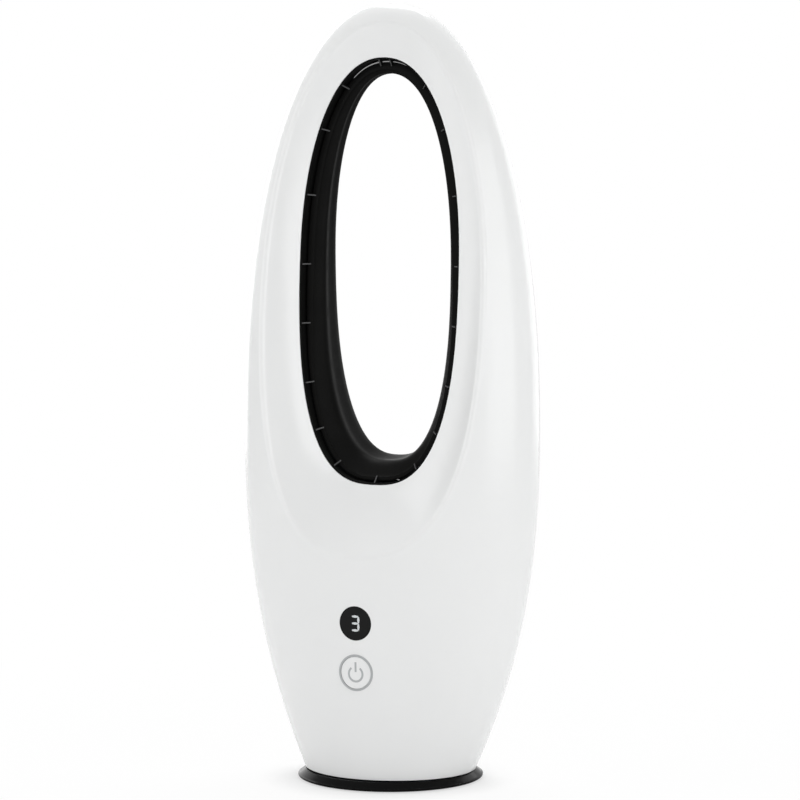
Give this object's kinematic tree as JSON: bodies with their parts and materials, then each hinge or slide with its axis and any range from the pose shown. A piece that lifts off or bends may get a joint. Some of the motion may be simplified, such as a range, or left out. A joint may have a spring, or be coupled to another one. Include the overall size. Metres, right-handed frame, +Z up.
{
  "type": "bladeless fan",
  "caption": "White egg-shaped bladeless tower fan with an oval air nozzle, a black round base, a digit display and a power button; the tower swings on its base.",
  "frame": {"origin": "centre of the round base on the surface that the fan stands on", "axes": "+Z up, -Y the front with the display and button, +X to the right seen from the front"},
  "size_m": [0.2436, 0.1444, 0.5998],
  "materials": {
    "white_gloss": "polished white ABS",
    "white_satin": "white ABS, satin",
    "black_gloss": "polished black ABS",
    "black_plastic": "fine textured black plastic",
    "grey_plastic": "moulded grey ABS",
    "slip_plastic": "natural acetal",
    "steel": "ground steel",
    "motor_steel": "zinc plated sheet",
    "screw_steel": "blackened screw steel",
    "rubber": "soft black rubber",
    "filter_foam": "open-cell foam",
    "magnet": "sintered ferrite",
    "copper": "enamelled copper wire",
    "window_black": "smoked acrylic, gloss",
    "light_bars": "diffusing white plastic",
    "silver": "satin silver plating",
    "button_white": "polished white ABS",
    "circuit_board": "green solder mask",
    "aluminium": "extruded, clear",
    "cable_black": "black cable sheath"
  },
  "bodies": {
    "base": {"base_plate": "black_gloss", "base_cover": "black_plastic", "base_weight": "steel", "base_feet": "rubber", "base_screws": "screw_steel", "spindle": "grey_plastic", "glide_ring": "slip_plastic", "sun_gear": "slip_plastic", "retaining_ring": "screw_steel"},
    "tower": {"front_shell": "white_gloss", "rear_shell": "white_gloss", "nozzle_liner": "black_gloss", "intake_grille": "white_satin", "dust_filter": "filter_foam", "chassis_floor": "grey_plastic", "floor_screws": "screw_steel", "pivot_bushing": "slip_plastic", "stepper_motor": "motor_steel", "stepper_screws": "screw_steel", "fan_duct": "black_plastic", "cable_grommet": "rubber", "duct_gasket": "rubber", "air_guide_plate": "grey_plastic", "plate_screws": "screw_steel", "motor_housing": "motor_steel", "motor_end_cap": "motor_steel", "motor_bearings": "steel", "stator_core": "steel", "stator_windings": "copper", "motor_dampers": "rubber", "diffuser": "black_plastic", "display_lens": "window_black", "digit_display": "black_plastic", "digit_segments": "light_bars", "button_ring": "silver", "button_switch": "black_plastic", "remote_receiver": "window_black", "control_board": "circuit_board", "control_screws": "screw_steel", "main_board": "circuit_board", "board_connectors": "button_white", "board_capacitors": "black_plastic", "board_heatsink": "aluminium", "buzzer": "black_plastic", "power_inlet": "black_plastic", "inlet_nut": "screw_steel", "shell_screws": "screw_steel", "motor_cable": "cable_black", "stepper_cable": "cable_black", "inlet_cable": "cable_black", "control_cable": "cable_black"},
    "pinion": {"pinion_gear": "slip_plastic", "stepper_shaft": "steel"},
    "impeller": {"impeller": "grey_plastic", "impeller_nut": "grey_plastic", "motor_shaft": "steel", "rotor_magnet": "magnet"},
    "button": {"power_button": "button_white", "switch_plunger": "black_plastic"}
  },
  "joints": [
    {"name": "oscillation", "type": "hinge", "parent": "base", "child": "tower", "pos_m": [0, 0, 0.01], "axis": [0, 0, 1], "range_deg": [-40, 40]},
    {"name": "pinion_spin", "type": "hinge", "parent": "tower", "child": "pinion", "pos_m": [0.028, 0, 0.016], "axis": [0, 0, 1], "range_deg": [-150, 150]},
    {"name": "impeller_spin", "type": "hinge", "parent": "tower", "child": "impeller", "pos_m": [0, 0.004, 0.08], "axis": [0, 0, 1], "continuous": true},
    {"name": "power_press", "type": "slide", "parent": "tower", "child": "button", "axis": [0, 1, 0], "range_m": [0, 0.0008], "stiffness_N_per_m": 800}
  ],
  "couplings": [
    {"joint": "pinion_spin", "follows": "oscillation", "ratio": 3.6667}
  ]
}
